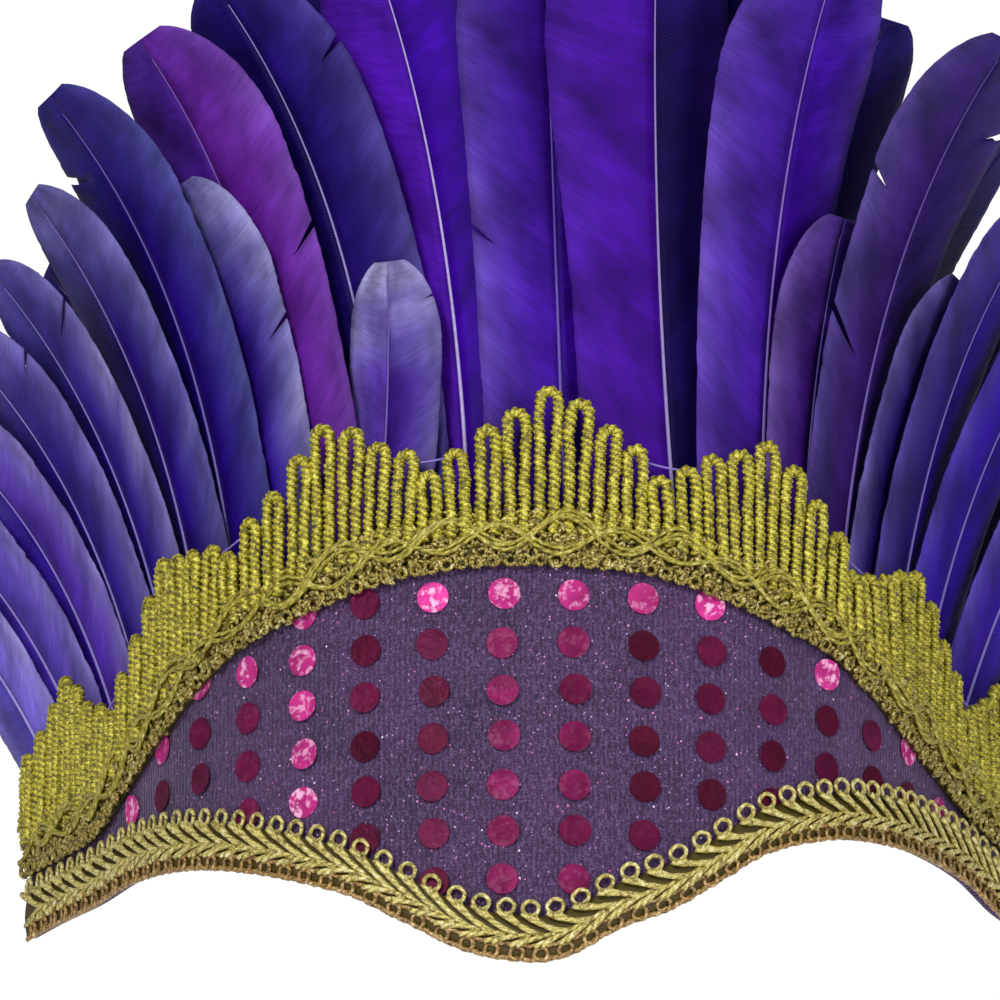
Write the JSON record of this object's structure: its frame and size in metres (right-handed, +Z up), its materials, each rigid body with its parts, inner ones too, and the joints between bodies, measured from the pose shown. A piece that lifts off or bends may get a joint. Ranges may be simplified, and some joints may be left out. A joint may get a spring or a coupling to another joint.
{
  "type": "feathered headdress",
  "caption": "Stiff sequinned forehead band with gold fan lace, a gimp braid rim, a ring of upright dyed feathers behind it and an elastic strap.",
  "frame": {"origin": "middle of the head opening, level with the strap's seat", "axes": "+Z up as worn, the wearer looks along -Y, +X to the right seen from the front"},
  "size_m": [0.2445, 0.2001, 0.2031],
  "materials": {
    "panel_fabric": "ribbed knit with glitter and round foil sequins",
    "gold_lace": "twisted metallic cord",
    "gold_gimp": "braided metallic cord",
    "elastic": "woven elastic",
    "front_feathers": "dyed feather, satin",
    "back_feathers": "dyed feather, satin"
  },
  "bodies": {
    "root": {"forehead_panel": "panel_fabric", "fan_lace_trim": "gold_lace", "lower_gimp_braid": "gold_gimp", "elastic_strap": "elastic", "front_feather_01": "front_feathers", "front_feather_02": "front_feathers", "front_feather_03": "front_feathers", "front_feather_04": "front_feathers", "front_feather_05": "front_feathers", "front_feather_06": "front_feathers", "front_feather_07": "front_feathers", "front_feather_08": "front_feathers", "front_feather_09": "front_feathers", "front_feather_10": "front_feathers", "front_feather_11": "front_feathers", "front_feather_12": "front_feathers", "front_feather_13": "front_feathers", "front_feather_14": "front_feathers", "front_feather_15": "front_feathers", "front_feather_16": "front_feathers", "front_feather_17": "front_feathers", "front_feather_18": "front_feathers", "front_feather_19": "front_feathers", "front_feather_20": "front_feathers", "front_feather_21": "front_feathers", "front_feather_22": "front_feathers", "back_feather_01": "back_feathers", "back_feather_02": "back_feathers", "back_feather_03": "back_feathers", "back_feather_04": "back_feathers", "back_feather_05": "back_feathers", "back_feather_06": "back_feathers", "back_feather_07": "back_feathers", "back_feather_08": "back_feathers", "back_feather_09": "back_feathers", "back_feather_10": "back_feathers", "back_feather_11": "back_feathers", "back_feather_12": "back_feathers", "back_feather_13": "back_feathers", "back_feather_14": "back_feathers", "back_feather_15": "back_feathers"}
  },
  "joints": []
}
